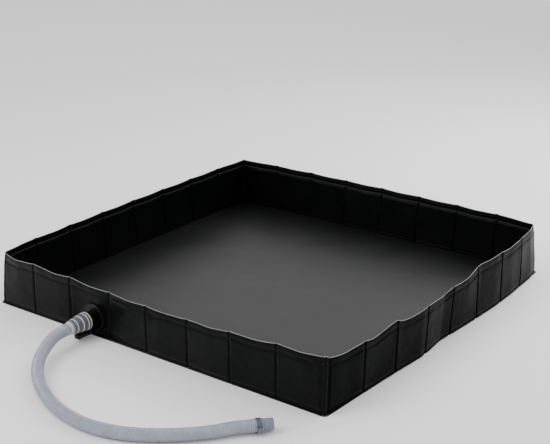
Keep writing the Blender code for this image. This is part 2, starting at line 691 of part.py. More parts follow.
def build_hose_tail():
    """Builds the barbed tail that holds the hose, with the plug that closes the valve."""
    outline = [(TAIL_BORE_RADIUS, PLUG_START), (CAVITY_RADIUS - GAP, PLUG_START),
               (CAVITY_RADIUS - GAP, COLLAR_START), (TAIL_COLLAR_RADIUS, COLLAR_START),
               (TAIL_COLLAR_RADIUS, TAIL_START), (TAIL_RADIUS, TAIL_START)]
    pitch = TAIL_LENGTH / (TAIL_BARBS + TAIL_SPARE_PITCH)
    for index in range(TAIL_BARBS):
        crest = TAIL_START + pitch * (index + BARB_CREST)
        outline += [(TAIL_RADIUS, crest), (TAIL_RADIUS + TAIL_BARB_HEIGHT, crest),
                    (TAIL_RADIUS + TAIL_BARB_HEIGHT, crest + pitch * BARB_LAND),
                    (TAIL_RADIUS, crest + pitch * BARB_SLOPE_END)]
    outline += [(TAIL_RADIUS, TAIL_END), (TAIL_BORE_RADIUS, TAIL_END)]
    add_part("hose_tail", turned(outline, drain_point(), OUTWARD, 40), BLACK_PLASTIC, smooth=True)


def build_hose_cuff():
    """Builds the end of the hose that is stretched over the tail, with a bulge at each barb."""
    outer = CUFF_BORE_RADIUS + CUFF_WALL
    pitch = TAIL_LENGTH / (TAIL_BARBS + TAIL_SPARE_PITCH)
    outline = [(CUFF_BORE_RADIUS, CUFF_START), (outer, CUFF_START)]
    for index in range(TAIL_BARBS):
        crest = TAIL_START + pitch * (index + BULGE_CREST)
        outline += [(outer, crest - pitch * BULGE_FOOT), (outer + CUFF_BULGE, crest - pitch * BULGE_LAND),
                    (outer + CUFF_BULGE, crest + pitch * BULGE_LAND), (outer, crest + pitch * BULGE_FOOT)]
    outline += [(outer, CUFF_END - CUFF_STEP), (HOSE_RADIUS, CUFF_END), (CUFF_BORE_RADIUS, CUFF_END)]
    add_part("hose_cuff", turned(outline, drain_point(), OUTWARD, 40), CLEAR_HOSE, smooth=True)


def smooth_route(points, first_direction, last_direction, spacing):
    """Reads points from a smooth curve through a route's own points, which it keeps."""
    lengths = [(after - before).length for before, after in zip(points, points[1:])]
    slopes = [first_direction.normalized()]
    for index in range(1, len(points) - 1):
        slope = points[index + 1] - points[index - 1]
        slopes.append(slope / (lengths[index - 1] + lengths[index]))
    slopes.append(last_direction.normalized())
    result = [points[0]]
    for index, length in enumerate(lengths):
        steps = max(1, round(length / spacing))
        for step in range(1, steps + 1):
            t = step / steps
            result.append((2 * t ** 3 - 3 * t ** 2 + 1) * points[index]
                          + (t ** 3 - 2 * t ** 2 + t) * length * slopes[index]
                          + (3 * t ** 2 - 2 * t ** 3) * points[index + 1]
                          + (t ** 3 - t ** 2) * length * slopes[index + 1])
    return result


def build_hose():
    """Builds the free length of the hose as a plain tube."""
    route = [drain_point(HOSE_START), drain_point(HOSE_START + HOSE_STRAIGHT_START)]
    route += [Vector((DRAIN_X + x, FRONT_FACE + y, HOSE_RADIUS + lift))
              for x, y, lift in HOSE_ROUTE]
    route += [HOSE_END - HOSE_END_DIRECTION * HOSE_STRAIGHT_END * share for share in (2, 1, 0)]
    points = smooth_route(route, OUTWARD, HOSE_END_DIRECTION, HOSE_POINT_SPACING)
    curve = bpy.data.curves.new("hose_tube", "CURVE")
    curve.dimensions = "3D"
    curve.bevel_depth = HOSE_RADIUS
    curve.bevel_resolution = 4
    curve.use_fill_caps = True
    spline = curve.splines.new("POLY")
    spline.points.add(len(points) - 1)
    for slot, point in zip(spline.points, points):
        slot.co = (*point, 1.0)
    hose = bpy.data.objects.new("hose_tube", curve)
    hose.data.materials.append(new_material("hose_tube_finish", CLEAR_HOSE))
    bpy.context.collection.objects.link(hose)


def clamp_frame():
    """Returns the clamp's middle, the way its housing points and the screw's direction."""
    middle = HOSE_END - HOSE_END_DIRECTION * CLAMP_FROM_END
    sideways = HOSE_END_DIRECTION.cross(Vector((0, 0, 1))).normalized()
    towards = math.cos(CLAMP_TURN) * sideways + math.sin(CLAMP_TURN) * Vector((0, 0, 1))
    along_screw = towards.cross(HOSE_END_DIRECTION).normalized()
    if along_screw.z > 0:
        along_screw = -along_screw
    return middle, towards.normalized(), along_screw


def oriented_box(centre, along, across, size):
    """Returns a box about a centre, with its length along one direction and height across."""
    third = along.cross(across)
    turn = Matrix((along, third, across)).transposed().to_4x4()
    shape = bmesh.new()
    scale = Matrix.Diagonal((*size, 1.0))
    bmesh.ops.create_cube(shape, size=1.0, matrix=Matrix.Translation(centre) @ turn @ scale)
    return shape


def build_clamp():
    """Builds the worm clamp round the far end of the hose: its band, housing and screw."""
    middle, towards, along_screw = clamp_frame()
    inner = HOSE_RADIUS + GAP
    outer = inner + CLAMP_BAND_THICKNESS
    half = CLAMP_BAND_WIDTH / 2
    band = add_part("clamp_band", ring(inner, outer, -half, half, middle, HOSE_END_DIRECTION, 44),
                    STEEL, smooth=True)
    housing_centre = middle + towards * (outer + CLAMP_HOUSING_HEIGHT / 2 - CLAMP_BAND_THICKNESS / 2)
    join(band, oriented_box(housing_centre, along_screw, towards,
                            (CLAMP_HOUSING_LENGTH, CLAMP_BAND_WIDTH, CLAMP_HOUSING_HEIGHT)))
    screw_centre = housing_centre
    reach = CLAMP_HOUSING_LENGTH / 2
    cut(band, rod(CLAMP_SCREW_RADIUS + GAP, -2 * reach, 2 * reach, screw_centre, along_screw, 22))
    turn = pivot("clamp_screw_pivot", screw_centre)
    head = reach + GAP
    outline = [(0.0, -reach), (CLAMP_SCREW_RADIUS, -reach), (CLAMP_SCREW_RADIUS, head),
               (CLAMP_SCREW_HEAD_RADIUS, head),
               (CLAMP_SCREW_HEAD_RADIUS, head + CLAMP_SCREW_HEAD_LENGTH),
               (0.0, head + CLAMP_SCREW_HEAD_LENGTH)]
    screw = add_part("clamp_screw", turned(outline, screw_centre, along_screw, 24, closed=False),
                     STEEL, turn, smooth=True)
    slot_centre = screw_centre + along_screw * (head + CLAMP_SCREW_HEAD_LENGTH)
    slot_size = (2 * CLAMP_SLOT_DEPTH, CLAMP_SLOT_WIDTH, 4 * CLAMP_SCREW_HEAD_RADIUS)
    cut(screw, oriented_box(slot_centre, along_screw, towards, slot_size))


def build_spigot():
    """Builds the short pipe held in the far end of the hose."""
    start = HOSE_END + HOSE_END_DIRECTION * GAP
    add_part("end_spigot", ring(SPIGOT_BORE_RADIUS, SPIGOT_RADIUS, 0.0, SPIGOT_LENGTH, start,
                                HOSE_END_DIRECTION, 40, chamfer=SPIGOT_CHAMFER), CLEAR_HOSE, smooth=True)


def main():
    """Builds the tray, the drain, the valve and the hose."""
    clear_scene()
    build_floor()
    build_front_wall()
    last_left_pivot = build_side_wall("left", -1)
    build_side_wall("right", 1)
    build_back_wall(last_left_pivot)
    build_drain_flange()
    build_drain_inside()
    build_valve()
    build_hose_tail()
    build_hose_cuff()
    build_hose()
    build_clamp()
    build_spigot()


if __name__ == "__main__":
    main()
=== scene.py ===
"""Looks of the folding waste-water tray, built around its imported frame.

Lengths are metres in the frame's own axes: +X along the front wall, +Y from front to back, +Z up.
"""

import logging
import math
from collections.abc import Sequence
from dataclasses import dataclass, field
from enum import Enum

import bmesh
import bpy
import numpy as np
from mathutils import Matrix, Vector, noise


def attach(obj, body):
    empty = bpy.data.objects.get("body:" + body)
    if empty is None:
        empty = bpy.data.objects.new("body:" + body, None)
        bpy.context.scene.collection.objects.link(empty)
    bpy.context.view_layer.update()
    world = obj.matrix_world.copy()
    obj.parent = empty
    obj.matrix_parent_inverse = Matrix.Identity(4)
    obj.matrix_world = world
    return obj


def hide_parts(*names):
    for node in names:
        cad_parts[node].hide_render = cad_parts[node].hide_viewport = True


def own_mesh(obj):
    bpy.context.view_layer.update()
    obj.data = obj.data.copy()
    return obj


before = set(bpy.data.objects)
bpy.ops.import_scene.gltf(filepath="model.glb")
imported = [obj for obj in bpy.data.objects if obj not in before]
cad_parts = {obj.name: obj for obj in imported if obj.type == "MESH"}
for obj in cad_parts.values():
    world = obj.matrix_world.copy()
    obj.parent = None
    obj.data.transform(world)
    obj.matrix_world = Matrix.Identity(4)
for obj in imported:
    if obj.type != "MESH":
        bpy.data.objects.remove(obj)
LOG = logging.getLogger("waste_tray")
MILLIMETRE = 0.001


class Side(Enum):
    """The tray's four walls, in the order met when walking round it from the front left."""

    FRONT = 0
    RIGHT = 1
    BACK = 2
    LEFT = 3


class Slot(Enum):
    """The record's material slots."""

    WALL_CLOTH = "wall_cloth"
    FLOOR_CLOTH = "floor_cloth"
    BLACK_PLASTIC = "black_plastic"
    RUBBER = "rubber"
    SEAT_PLASTIC = "seat_plastic"
    BRASS = "brass"
    STEEL = "steel"
    CLEAR_HOSE = "clear_hose"


def linear(colour: str) -> tuple[float, float, float, float]:
    """Turns an sRGB hex colour to linear light.

    Args:
        colour: The colour as "#rrggbb".

    Returns:
        Red, green, blue and alpha in linear light.
    """
    shares = [int(colour[start:start + 2], 16) / 255 for start in (1, 3, 5)]
    red, green, blue = [share / 12.92 if share <= 0.04045 else ((share + 0.055) / 1.055) ** 2.4
                        for share in shares]
    return red, green, blue, 1.0


def node(tree: bpy.types.NodeTree, kind: str, links: dict | None = None, **settings) -> bpy.types.Node:
    """Adds a node with its settings and what feeds it.

    Args:
        tree: The tree that gets the node.
        kind: The node's type name.
        links: For each input's name or number, a value or the output socket that feeds it.
        **settings: The node's own properties.

    Returns:
        The new node.
    """
    made = tree.nodes.new(kind)
    for name, value in settings.items():
        setattr(made, name, value)
    for name, value in (links or {}).items():
        socket = made.inputs[name]
        if isinstance(value, bpy.types.NodeSocket):
            tree.links.new(value, socket)
        else:
            socket.default_value = value
    return made


@dataclass(frozen=True)
class Finish:
    """A surface: two tones that drift into each other, a gloss that varies, and fine relief."""

    name: str
    slot: Slot
    colour: str
    second_colour: str
    roughness: float
    roughness_drift: float = 0.06
    metallic: float = 0.0
    ior: float = 1.5
    tone_size_mm: float = 40.0
    grain_size_mm: float = 2.0
    grain_height_mm: float = 0.05
    crumple_size_mm: float = 0.0
    crumple_height_mm: float = 0.0
    transmission: float = 0.0
    specular: float = 0.5
    specular_tint: str = "#ffffff"
    # The pale colour of painted highlights, and on the cuff also of the hose's paler tone, mixed in by the
    # mesh's attribute.
    highlight_and_tone_colour: str = ""
    made: list = field(default_factory=list, compare=False, repr=False)

    def material(self) -> bpy.types.Material:
        """Returns the finish's material, which is made the first time."""
        if self.made:
            return self.made[0]
        material = bpy.data.materials.new(self.name)
        material.use_nodes = True
        tree = material.node_tree
        shader = tree.nodes["Principled BSDF"]
        where = node(tree, "ShaderNodeTexCoord").outputs["Object"]
        tone = node(tree, "ShaderNodeTexNoise",
                    {"Vector": where, "Scale": 1 / (self.tone_size_mm * MILLIMETRE), "Detail": 4.0})
        colour = node(tree, "ShaderNodeMix",
                      {0: tone.outputs[0], 6: linear(self.colour), 7: linear(self.second_colour)},
                      data_type="RGBA").outputs[2]
        # Mixes in the pale colour by the mesh's attribute: painted highlights, and on the cuff also the
        # hose's paler tone.
        if self.highlight_and_tone_colour:
            highlight_and_tone_share = node(tree, "ShaderNodeAttribute", attribute_name="painted_highlight_and_tone")
            colour = node(tree, "ShaderNodeMix",
                          {0: highlight_and_tone_share.outputs["Fac"], 6: colour, 7: linear(self.highlight_and_tone_colour)},
                          data_type="RGBA").outputs[2]
        tree.links.new(colour, shader.inputs["Base Color"])
        gloss = node(tree, "ShaderNodeMapRange",
                     {"Value": tone.outputs[0], "From Min": 0.3, "From Max": 0.7,
                      "To Min": self.roughness - self.roughness_drift,
                      "To Max": self.roughness + self.roughness_drift})
        tree.links.new(gloss.outputs[0], shader.inputs["Roughness"])
        grain = node(tree, "ShaderNodeTexNoise",
                     {"Vector": where, "Scale": 1 / (self.grain_size_mm * MILLIMETRE), "Detail": 3.0})
        relief = node(tree, "ShaderNodeBump",
                      {"Height": grain.outputs[0], "Strength": 1.0,
                       "Distance": self.grain_height_mm * MILLIMETRE})
        if self.crumple_height_mm:
            crumple = node(tree, "ShaderNodeTexNoise",
                           {"Vector": where, "Scale": 1 / (self.crumple_size_mm * MILLIMETRE),
                            "Detail": 2.0, "Distortion": 0.6})
            relief = node(tree, "ShaderNodeBump",
                          {"Height": crumple.outputs[0], "Strength": 1.0,
                           "Distance": self.crumple_height_mm * MILLIMETRE,
                           "Normal": relief.outputs[0]})
        tree.links.new(relief.outputs[0], shader.inputs["Normal"])
        shader.inputs["Metallic"].default_value = self.metallic
        if not self.metallic:
            shader.inputs["IOR"].default_value = self.ior
        shader.inputs["Specular IOR Level"].default_value = self.specular
        shader.inputs["Specular Tint"].default_value = linear(self.specular_tint)
        shader.inputs["Transmission Weight"].default_value = self.transmission
        self.made.append(material)
        return material

    def dress(self, piece: bpy.types.Object) -> None:
        """Gives a piece this finish."""
        piece.data.materials.clear()
        piece.data.materials.append(self.material())


# Calendered PVC on polyester: a satin black skin with a soft leathery crumple, and a pale colour painted as
# a highlight along the rim's crest and faintly along the inner weld above the boards.
WALL_CLOTH = Finish("calendered_pvc_wall_cloth", Slot.WALL_CLOTH, "#050606", "#0a0b0b", 0.27,
                    roughness_drift=0.06, ior=1.53, specular=0.13, specular_tint="#a8a8a8",
                    tone_size_mm=70, grain_size_mm=1.6, grain_height_mm=0.05, crumple_size_mm=30,
                    crumple_height_mm=0.7, highlight_and_tone_colour="#b4b6b5")
# The same cloth on the folding links, with its shine set lower: a shaded copy, painted shade that keeps the
# side walls an even black, darker than the front, in light from the side.
SHADED_LINK_CLOTH = Finish("calendered_pvc_shaded_link_cloth", Slot.WALL_CLOTH, "#050606", "#0a0b0b", 0.30,
                    roughness_drift=0.06, ior=1.53, specular=0.022, specular_tint="#a8a8a8",
                    tone_size_mm=60, grain_size_mm=1.6, grain_height_mm=0.05, crumple_size_mm=26,
                    crumple_height_mm=0.8, highlight_and_tone_colour="#b4b6b5")
# The same cloth laid flat and pulled smooth: an even satin sheen with hardly a wrinkle.
FLOOR_CLOTH = Finish("calendered_pvc_floor_cloth", Slot.FLOOR_CLOTH, "#090a0a", "#0c0d0d", 0.38,
                     roughness_drift=0.03, ior=1.53, specular=0.42, tone_size_mm=160, grain_size_mm=1.8,
                     grain_height_mm=0.04, crumple_size_mm=110, crumple_height_mm=1.2)
# Moulded ABS: hard and half glossy, with a faint moulding texture.
BLACK_PLASTIC = Finish("moulded_abs_black", Slot.BLACK_PLASTIC, "#050506", "#080809", 0.30,
                       ior=1.54, specular=0.2, tone_size_mm=12, grain_size_mm=0.8, grain_height_mm=0.02)
# Moulded EPDM rubber: dull and slightly dusty.
RUBBER = Finish("moulded_epdm_rubber", Slot.RUBBER, "#1c1c1c", "#262626", 0.72, ior=1.52,
                tone_size_mm=8, grain_size_mm=0.7, grain_height_mm=0.03)
# Turned PTFE: waxy white.
SEAT_PLASTIC = Finish("turned_ptfe", Slot.SEAT_PLASTIC, "#e8e8e4", "#dededa", 0.42, ior=1.38,
                      tone_size_mm=6, grain_size_mm=0.6, grain_height_mm=0.01)
# Turned brass: warm metal with fine tool rings.
BRASS = Finish("turned_brass", Slot.BRASS, "#c9a763", "#b8934f", 0.25, metallic=1.0,
               tone_size_mm=5, grain_size_mm=0.4, grain_height_mm=0.01)
# Pressed stainless strip: grey metal with a brushed sheen.
STEEL = Finish("pressed_stainless_steel", Slot.STEEL, "#a6a8ab", "#8d9093", 0.30, metallic=1.0,
               tone_size_mm=6, grain_size_mm=0.5, grain_height_mm=0.015)
# Pressed steel strip, zinc plated: darker, with a painted ridged sheen: two tones mixed in small patches
# paint highlight and shade, as if on ridges.
PLATED_STEEL = Finish("pressed_zinc_plated_steel", Slot.STEEL, "#4c4f57", "#7d8089", 0.24, metallic=1.0,
                      tone_size_mm=2.4, grain_size_mm=0.7, grain_height_mm=0.03)
# Moulded rigid PVC: bluish grey and a little see-through.
FITTING_PLASTIC = Finish("moulded_clear_pvc", Slot.CLEAR_HOSE, "#666b7d", "#8d92a6", 0.16, ior=1.53,
                         tone_size_mm=7, grain_size_mm=1.2, grain_height_mm=0.03, transmission=0.15)
# Extruded flexible PVC: milky, a little lavender, glossy on the ribs.
CLEAR_HOSE = Finish("extruded_clear_pvc", Slot.CLEAR_HOSE, "#8a8fa2", "#b6bac8", 0.22, ior=1.53,
                    tone_size_mm=24, grain_size_mm=1.2, grain_height_mm=0.02, transmission=0.25)

# The same hose stretched thin over the black tail: dark, with a pale colour painted on its rings and ribs
# as highlights, and towards its end as the hose's own paler tone.
STRETCHED_HOSE = Finish("extruded_clear_pvc_over_tail", Slot.CLEAR_HOSE, "#1d1f26", "#3a3d47", 0.18,
                        ior=1.53, tone_size_mm=14, grain_size_mm=1.0, grain_height_mm=0.02,
                        transmission=0.05, highlight_and_tone_colour="#e4e6ec")

NODE_FINISHES = {
    BLACK_PLASTIC: ("drain_flange", "drain_backnut", "valve_body", "valve_handle", "hose_tail"),
    RUBBER: ("drain_gasket",),
    SEAT_PLASTIC: ("valve_seat_inner", "valve_seat_outer"),
    BRASS: ("valve_ball", "valve_stem"),
    STEEL: ("clamp_screw", "handle_screw"),
    PLATED_STEEL: ("clamp_band",),
    FITTING_PLASTIC: ("end_spigot",),
}


def mesh_object(name: str, points: np.ndarray, faces: list[tuple[int, ...]]) -> bpy.types.Object:
    """Makes a smooth shaded mesh object whose faces all look outward.

    Args:
        name: The object's name.
        points: The places of its vertices, one row each.
        faces: The vertex numbers of each face.

    Returns:
        The object, linked to the scene.
    """
    mesh = bpy.data.meshes.new(name)
    mesh.from_pydata([tuple(point) for point in points], [], faces)
    shape = bmesh.new()
    shape.from_mesh(mesh)
    bmesh.ops.recalc_face_normals(shape, faces=shape.faces)
    shape.to_mesh(mesh)
    shape.free()
    mesh.shade_smooth()
    made = bpy.data.objects.new(name, mesh)
    bpy.context.scene.collection.objects.link(made)
    return made


def ring_grid(rows: np.ndarray) -> tuple[np.ndarray, list[tuple[int, ...]]]:
    """Joins a row of closed rings to a tube with flat ends.

    Args:
        rows: The points, indexed by ring, then round the ring.

    Returns:
        The points as one list, and the faces.
    """
    rings, around = rows.shape[:2]
    faces = [(ring * around + step, ring * around + (step + 1) % around,
              (ring + 1) * around + (step + 1) % around, (ring + 1) * around + step)
             for ring in range(rings - 1) for step in range(around)]
    faces.append(tuple(range(around))[::-1])
    faces.append(tuple((rings - 1) * around + step for step in range(around)))
    return rows.reshape(-1, 3), faces


def ease(share: np.ndarray | float) -> np.ndarray | float:
    """Returns a share from 0 to 1 eased in and out."""
    share = np.clip(share, 0.0, 1.0)
    return share * share * (3 - 2 * share)


@dataclass
class WallShape:
    """How the soft walls stand: where each leans and bows, and the relief of boards and seams."""

    half: float = 0.550
    height: float = 0.150
    base: float = 0.0015
    thickness: float = 0.0052
    panels: int = 8
    corner_radius: float = 0.011
    board_top: float = 0.128
    drain_at: tuple[float, float] = (-0.19625, 0.047)
    drain_flat: float = 0.045
    drain_fade: float = 0.050
    # Outward lean at the foot and at the rim: panel number from the wall's start, millimetres.
    foot: dict[Side, list[tuple[float, float]]] = field(default_factory=lambda: {
        Side.FRONT: [(0, 3.5), (.5, 4.5), (1, 6), (1.7, 7), (2.7, 2.5), (3, -2), (3.5, 7), (4, 9),
                     (4.3, 11), (5, 10), (5.5, 13), (6, 14), (6.4, 11), (7, 9), (8, 10)],
        Side.RIGHT: [(.1, 5), (.6, 9), (.9, 14), (1.5, 17), (2.15, 21), (2.5, 24), (2.8, 27),
                     (3.2, 24), (3.7, 16.5), (4, 19.5), (4.4, 22.5), (5, 26), (5.8, 29), (6.5, 26),
                     (7, 21), (7.6, 16), (8, 4)],
        Side.BACK: [(0, 4), (4, 4), (8, 2)],
        Side.LEFT: [(0, 2), (4, 6), (8, 3)],
    })
    # How much further out the rim stands than the foot: panel number, millimetres.
    tilt: dict[Side, list[tuple[float, float]]] = field(default_factory=lambda: {
        Side.FRONT: [(0, -9), (.5, 0), (4, 1), (7.5, 0), (8, -4)],
        Side.RIGHT: [(0, 0), (.3, 4), (2, 4), (3.6, 9), (4.6, 7), (5.1, -3), (6, -1), (7, -1),
                     (7.6, -8), (8, -12)],
        Side.BACK: [(0, -4), (.6, 12), (2, 18), (4, 22), (6, 18), (7.4, 10), (8, -2)],
        Side.LEFT: [(0, -2), (.6, 6), (4, 9), (7.4, 5), (8, -8)],
    })
    # How far the rim has sunk under its full height: panel number, millimetres.
    drop: dict[Side, list[tuple[float, float]]] = field(default_factory=lambda: {
        Side.FRONT: [(0, 0), (.4, 4.5), (.93, 1.2), (1.05, 0), (1.6, 6.4), (2.1, 5.5), (2.45, 12),
                     (3, 17), (3.5, 15.6), (4, 15.5), (4.8, 16), (5.2, 13.8), (5.6, 13.9), (6.1, 8),
                     (6.6, 9), (7.05, 2.8), (7.5, 3.5), (8, 0)],
        Side.RIGHT: [(0, 0), (.1, 4), (.45, 10), (.97, 8.5), (1.25, 13.5), (1.8, 4), (1.98, 3),
                     (2.2, 12), (2.5, 14), (2.8, 12.5), (3.2, 10.5), (3.6, 13), (4.1, 6.7),
                     (4.5, 4.5), (5, -5), (5.2, -6), (5.5, -5), (5.9, -4.5), (6.3, -2), (6.9, -3),
                     (7.6, -4), (8, -1)],
        Side.BACK: [(0, 0), (4, 1), (8, -2)],
        Side.LEFT: [(0, -2), (4, 0), (8, 0)],
    })
    corner_weld: float = 0.012
    # Relief of the outer face, in millimetres unless a length in metres is meant.
    board_edge: float = 0.0025
    board_step: float = 0.005
    board_rise: float = 0.8
    soft_rise: float = 0.6       # the cloth above the boards, as a share of the board's rise
    seam_depth: float = 2.1
    seam_width: float = 0.0021
    seam_lip: float = 0.55
    seam_lip_at: float = 0.0050
    seam_lip_width: float = 0.0014
    weld_depth: float = 1.3
    weld_width: float = 0.0011
    foot_weld_at: float = 0.0105
    pillow_rise: float = 4.0
    pucker_rise: float = 1.1
    pucker_reach: float = 0.020

    @property
    def pitch(self) -> float:
        """Returns the width of one panel."""
        return 2 * self.half / self.panels

    def lean(self, side: Side, along: float, height: float) -> float:
        """Returns how far a wall stands outside its straight place.

        Args:
            side: Which wall.
            along: The distance from the wall's start.
            height: The height above the ground.

        Returns:
            The distance, outward.
        """
        panel = along / self.pitch
        foot, tilt = (np.interp(panel, *zip(*table[side])) for table in (self.foot, self.tilt))
        value = (foot + tilt * (height / self.height) ** 1.3) * MILLIMETRE
        return value * (1 - self.drain_hold(side, along, height))

    def drain_hold(self, side: Side, along: float, height: float) -> float:
        """Returns how firmly the drain's flange holds the wall flat there, from 0 to 1."""
        if side is not Side.FRONT:
            return 0.0
        away = math.hypot(along - self.half - self.drain_at[0], height - self.drain_at[1])
        return float(1 - ease((away - self.drain_flat) / self.drain_fade))

    def relief(self, side: Side, along: float, height: float) -> float:
        """Returns the height of the wall's surface relief: welded seams, boards and puckers."""
        full = 2 * self.half
        seam = round(along / self.pitch) * self.pitch
        seam = min(max(seam, self.corner_weld), full - self.corner_weld)
        nearest = abs(along - seam)
        cell = math.floor(along / self.pitch) + 11 * side.value
        across = (along / self.pitch) % 1.0
        up = min(1.0, height / self.board_top)
        board = float(ease((nearest - self.board_edge) / self.board_step))
        board *= 1.0 if height < self.board_top else self.soft_rise
        groove = self.seam_depth * math.exp(-(nearest / self.seam_width) ** 2)
        groove -= self.seam_lip * math.exp(-((nearest - self.seam_lip_at) / self.seam_lip_width) ** 2)
        welds = sum(self.weld_depth * math.exp(-((height - level) / self.weld_width) ** 2)
                    for level in (self.board_top + 0.0005, self.board_top + 0.0045, self.foot_weld_at))
        pillow = noise.noise(Vector((cell * 3.7, 1.3, 0.2))) * self.pillow_rise
        pillow *= math.sin(math.pi * across) * math.sin(math.pi * up)
        pucker = noise.noise(Vector((along * 34 + side.value * 9, height * 60, 2.1))) * self.pucker_rise
        near_seam = 0.9 * math.exp(-nearest / self.pucker_reach)
        pucker *= 0.3 + near_seam + 0.6 * float(ease((height - 0.11) / 0.03))
        held = 1 - self.drain_hold(side, along, height)
        return (self.board_rise * (board - 1) - groove - welds + (pillow + pucker) * held) * MILLIMETRE

    def rim_height(self, side: Side, along: float) -> float:
        """Returns the height of the rim, which stands at the seams and dips between them."""
        across = (along / self.pitch) % 1.0
        dip = 1.6 * math.sin(math.pi * across) ** 2 * MILLIMETRE
        wave = noise.noise(Vector((along * 11, side.value * 5.0, 4.0))) * 1.3 * MILLIMETRE
        drop = np.interp(along / self.pitch, *zip(*self.drop[side])) * MILLIMETRE
        seam = abs(along / self.pitch - round(along / self.pitch)) * self.pitch
        gather = 1.3 * math.exp(-(seam / 0.007) ** 2) * MILLIMETRE
        return self.height - 0.0012 - dip - drop - abs(wave) + gather

    def frame_at(self, side: Side, along: float) -> tuple[np.ndarray, np.ndarray, np.ndarray]:
        """Returns the straight wall's outer face at a place, its outward normal and its run."""
        turn = side.value * math.pi / 2
        run = np.array((math.cos(turn), math.sin(turn), 0.0))
        out = np.array((math.sin(turn), -math.cos(turn), 0.0))
        radius = self.corner_radius
        spot = out * self.half + run * (along - self.half)
        normal = out
        for end, towards in ((along, -1.0), (2 * self.half - along, 1.0)):
            if end < radius:
                angle = math.radians(45) * (1 - max(0.0, end) / radius)
                normal = out * math.cos(angle) + run * towards * math.sin(angle)
                centre = out * (self.half - radius) + run * towards * (self.half - radius)
                spot = centre + normal * radius
        return spot, normal, run

    def point(self, side: Side, along: float, height: float, depth: float, sign: float) -> np.ndarray:
        """Places one point of a wall's surface.

        Args:
            side: Which wall.
            along: The distance from the wall's start.
            height: The height, as if the rim were level.
            depth: The distance inward from the outer face.
            sign: 1 for the outer face and -1 for the inner one, which is where relief points.

        Returns:
            The point.
        """
        spot, normal, run = self.frame_at(side, along)
        out = np.cross(run, (0, 0, 1))
        reach = self.pitch / 2
        shift = out * self.lean(side, along, height)
        after, before = Side((side.value + 1) % 4), Side((side.value + 3) % 4)
        shift += run * self.lean(after, 0, height) * float(ease(1 - (2 * self.half - along) / reach))
        shift -= run * self.lean(before, 2 * self.half, height) * float(ease(1 - along / reach))
        bump = self.relief(side, along, height) * sign
        level = self.base + (height - self.base) * ((self.rim_height(side, along) - self.base)
                                                    / (self.height - self.base))
        at = spot + shift + normal * (bump - depth)
        return np.array((at[0], at[1], level))

    def stations(self, start: float, end: float) -> list[float]:
        """Returns where a stretch of wall is cut, closer together at its seams and corners."""
        cuts = {start, end}
        near = (0, 1.0, 2.0, 3.0, 4.5, 6.5, 9.5, 14.0, 21.0)
        for seam in range(self.panels + 1):
            middle = seam * self.pitch
            middle = min(max(middle, self.corner_weld), 2 * self.half - self.corner_weld)
            for offset in near:
                for sign in (-1, 1):
                    cuts.add(middle + sign * offset * MILLIMETRE)
            for step in range(3, 14):
                cuts.add(seam * self.pitch + step * self.pitch / 16)
        kept = sorted(cut for cut in cuts if start <= cut <= end)
        result = [kept[0]]
        for cut in kept[1:]:
            if cut - result[-1] > 0.0004:
                result.append(cut)
        result[-1] = end
        return result

    def section(self) -> list[tuple[float, float, float]]:
        """Returns the wall's section as height, depth and which way its relief points."""
        welds = (0.0085, 0.0105, 0.0125, self.board_top - 0.0015, self.board_top + 0.0005,
                 self.board_top + 0.0025, self.board_top + 0.0045, self.board_top + 0.0065)
        levels = sorted({self.base, 0.004, *welds, *np.linspace(0.018, 0.121, 11), 0.140, 0.1455})
        slim = 0.0010
        section = [(level, slim * float(ease((level - 0.130) / 0.018)), 1.0) for level in levels]
        section += [(0.1485, slim + 0.0003, 0.6), (0.1500, slim + 0.0014, 0.0)]
        section += [(0.1485, self.thickness - slim - 0.0003, -0.6)]
        section += [(level, self.thickness - slim * float(ease((level - 0.130) / 0.018)), -1.0)
                    for level in reversed(levels)]
        return section


@dataclass
class WallSkin:
    """One stretch of soft wall, with its boards inside it, that rides on one body."""

    name: str
    body: str
    stretch: list[tuple[Side, float, float]]
    stands_for: tuple[str, ...]
    shape: WallShape
    finish: Finish = WALL_CLOTH

    def build(self) -> bpy.types.Object:
        """Builds the stretch as one closed piece.

        Returns:
            The piece, dressed and riding on its body.
        """
        section = self.shape.section()
        rows = []
        for side, start, end in self.stretch:
            for along in self.shape.stations(start, end):
                row = [self.shape.point(side, along, level, depth, sign)
                       for level, depth, sign in section]
                if rows and np.linalg.norm(rows[-1][0] - row[0]) < 0.0002:
                    continue
                rows.append(row)
        grid = np.array(rows)
        points, faces = ring_grid(grid)
        piece = mesh_object(self.name, points, faces)
        painted_highlight_and_tone = piece.data.attributes.new("painted_highlight_and_tone", "FLOAT", "POINT")
        crest = float(self.shape.height)
        weld = self.shape.board_top + 0.0025
        # Painted highlight: the pale colour in full along the rim's crest, and faintly along the inner weld
        # above the boards.
        highlight_and_tone_share = [1.0 if level > crest - 0.0004 else 0.10 if sign < 0 and abs(level - weld) < 0.0003
                else 0.0 for level, _, sign in section]
        painted_highlight_and_tone.data.foreach_set("value", highlight_and_tone_share * len(rows))
        self.finish.dress(piece)
        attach(piece, self.body)
        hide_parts(*self.stands_for)
        return piece

    def flatten_when_folded(self, piece: bpy.types.Object) -> None:
        """Gives the stretch its own copy of its mesh."""
        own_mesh(piece)


